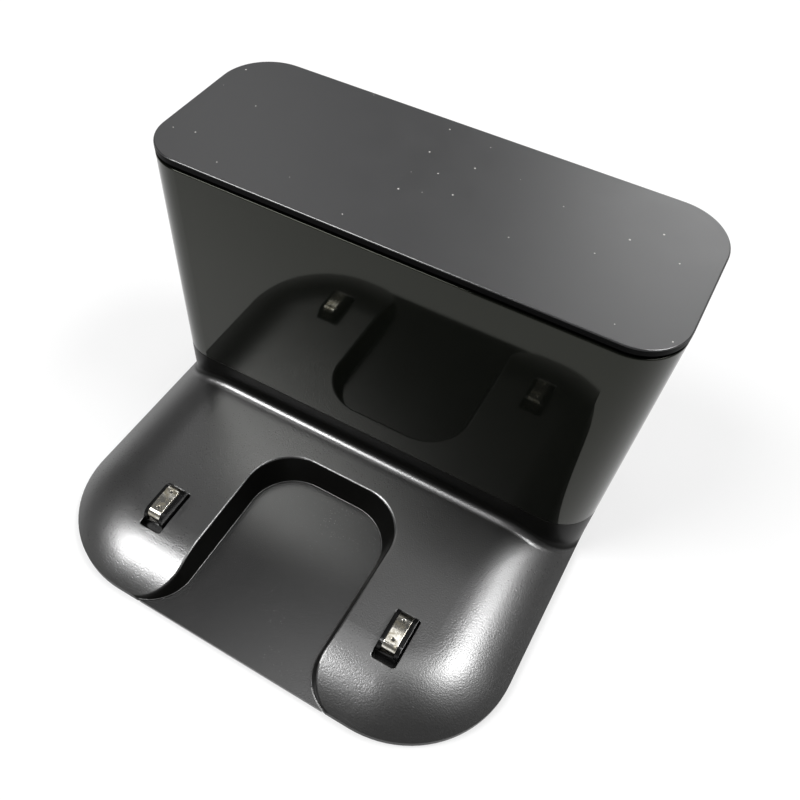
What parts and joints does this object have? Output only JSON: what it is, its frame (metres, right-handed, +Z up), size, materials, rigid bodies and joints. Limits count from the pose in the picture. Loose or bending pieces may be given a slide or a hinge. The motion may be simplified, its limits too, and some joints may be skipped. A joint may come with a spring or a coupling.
{
  "type": "robot vacuum charging dock",
  "caption": "Charging dock for a robot vacuum: low lobed base with a caster channel and sprung contacts, and an upright tower with a glossy infrared window.",
  "frame": {"origin": "middle of the footprint on the floor, under the feet", "axes": "+X along the tower to its right, -Y out of the caster channel, +Z up"},
  "size_m": [0.15, 0.1354, 0.097],
  "materials": {
    "tray_plastic": "satin, fine grained black moulding",
    "plate_plastic": "satin dark grey",
    "ballast_iron": "bare plate",
    "shell_gloss": "polished infrared window, nearly black",
    "cap_plastic": "fine matte",
    "panel_plastic": "satin",
    "inlet_plastic": "smooth black",
    "pin_metal": "plated",
    "board_laminate": "solder mask",
    "transformer_wrap": "tape over windings",
    "capacitor_sleeve": "shrunk sleeve",
    "connector_plastic": "white moulding",
    "hood_plastic": "light-tight black",
    "emitter_lens": "clear dark resin",
    "lead_sheath": "insulated wire",
    "screw_steel": "zinc plated",
    "foot_rubber": "soft pad",
    "contact_metal": "bright nickel plate",
    "carrier_plastic": "satin black",
    "spring_steel": "bright wire",
    "terminal_brass": "stamped"
  },
  "bodies": {
    "dock": {"ballast_plate": "ballast_iron", "base_tray": "tray_plastic", "board_screws": "screw_steel", "bottom_plate": "plate_plastic", "bulk_capacitor": "capacitor_sleeve", "contact_lead_left": "lead_sheath", "contact_lead_right": "lead_sheath", "contact_spring_left": "spring_steel", "contact_spring_right": "spring_steel", "contact_terminal_left": "terminal_brass", "contact_terminal_right": "terminal_brass", "emitter_board": "board_laminate", "emitter_hood": "hood_plastic", "emitter_screws": "screw_steel", "foot_front_left": "foot_rubber", "foot_front_right": "foot_rubber", "foot_rear_left": "foot_rubber", "foot_rear_right": "foot_rubber", "inlet_pins": "pin_metal", "ir_emitter_centre": "emitter_lens", "ir_emitter_left": "emitter_lens", "ir_emitter_right": "emitter_lens", "lead_connector_left": "connector_plastic", "lead_connector_right": "connector_plastic", "plate_screws": "screw_steel", "power_board": "board_laminate", "power_inlet": "inlet_plastic", "rear_panel": "panel_plastic", "signal_lead": "lead_sheath", "top_cap": "cap_plastic", "tower_screws": "screw_steel", "tower_shell": "shell_gloss", "transformer": "transformer_wrap"},
    "contact_left": {"contact_plate_left": "contact_metal", "contact_carrier_left": "carrier_plastic"},
    "contact_right": {"contact_plate_right": "contact_metal", "contact_carrier_right": "carrier_plastic"}
  },
  "joints": [
    {"name": "contact_left_press", "type": "slide", "parent": "dock", "child": "contact_left", "axis": [0, 0, -1], "range_m": [0, 0.0035], "stiffness_N_per_m": 500, "springref_m": -0.002, "deforming": ["contact_spring_left"]},
    {"name": "contact_right_press", "type": "slide", "parent": "dock", "child": "contact_right", "axis": [0, 0, -1], "range_m": [0, 0.0035], "stiffness_N_per_m": 500, "springref_m": -0.002, "deforming": ["contact_spring_right"]}
  ]
}
